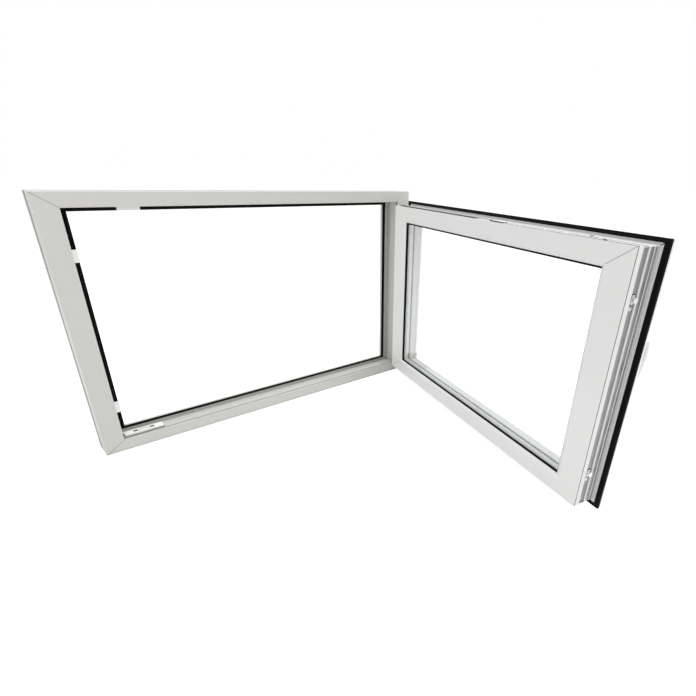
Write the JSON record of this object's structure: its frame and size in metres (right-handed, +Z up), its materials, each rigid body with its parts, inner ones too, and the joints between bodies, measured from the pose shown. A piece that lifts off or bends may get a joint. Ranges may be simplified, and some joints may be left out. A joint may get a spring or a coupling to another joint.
{
  "type": "basement window",
  "caption": "Rectangular plastic-framed basement window with a double glazed tilt and turn sash standing open on its side hinges, black seals, keeps and a handle.",
  "frame": {"origin": "centre of the fixed frame's underside, half way between its room face and its outside face", "axes": "+Z up, X along the frame's width with the hinges at +X, the room and the open sash at -Y"},
  "size_m": [1, 0.9955, 0.6],
  "materials": {
    "frame_profile": "satin white plastic",
    "sash_profile": "satin white plastic",
    "seal": "matt black",
    "bead_seal": "matt grey",
    "glass": "clear",
    "spacer": "matt",
    "hardware": "silver zinc",
    "keep": "white lacquer",
    "handle": "white lacquer"
  },
  "bodies": {
    "root": {"frame_sill": "frame_profile", "frame_lock_jamb": "frame_profile", "frame_head": "frame_profile", "frame_hinge_jamb": "frame_profile", "sash_bottom_rail": "sash_profile", "sash_lock_stile": "sash_profile", "sash_top_rail": "sash_profile", "sash_hinge_stile": "sash_profile", "bead_bottom": "sash_profile", "bead_lock": "sash_profile", "bead_top": "sash_profile", "bead_hinge": "sash_profile", "frame_gasket_sill": "seal", "frame_gasket_lock_jamb": "seal", "frame_gasket_head": "seal", "frame_gasket_hinge_jamb": "seal", "overlap_gasket_bottom": "seal", "overlap_gasket_lock": "seal", "overlap_gasket_top": "seal", "overlap_gasket_hinge": "seal", "outer_glazing_gasket": "seal", "inner_glazing_gasket": "bead_seal", "outer_pane": "glass", "inner_pane": "glass", "spacer": "spacer", "lock_stile_faceplate": "hardware", "top_rail_faceplate": "hardware", "bottom_rail_faceplate": "hardware", "lock_cam_lower": "hardware", "lock_cam_upper": "hardware", "top_cam": "hardware", "stay_arm": "hardware", "hinge_bracket_lower": "hardware", "hinge_bracket_upper": "hardware", "hinge_leaf_lower": "hardware", "hinge_leaf_upper": "hardware", "keep_lock_jamb_lower": "keep", "keep_lock_jamb_upper": "keep", "keep_head": "keep", "tilt_striker": "keep", "handle_rosette": "handle", "handle_lever": "handle"}
  },
  "joints": []
}
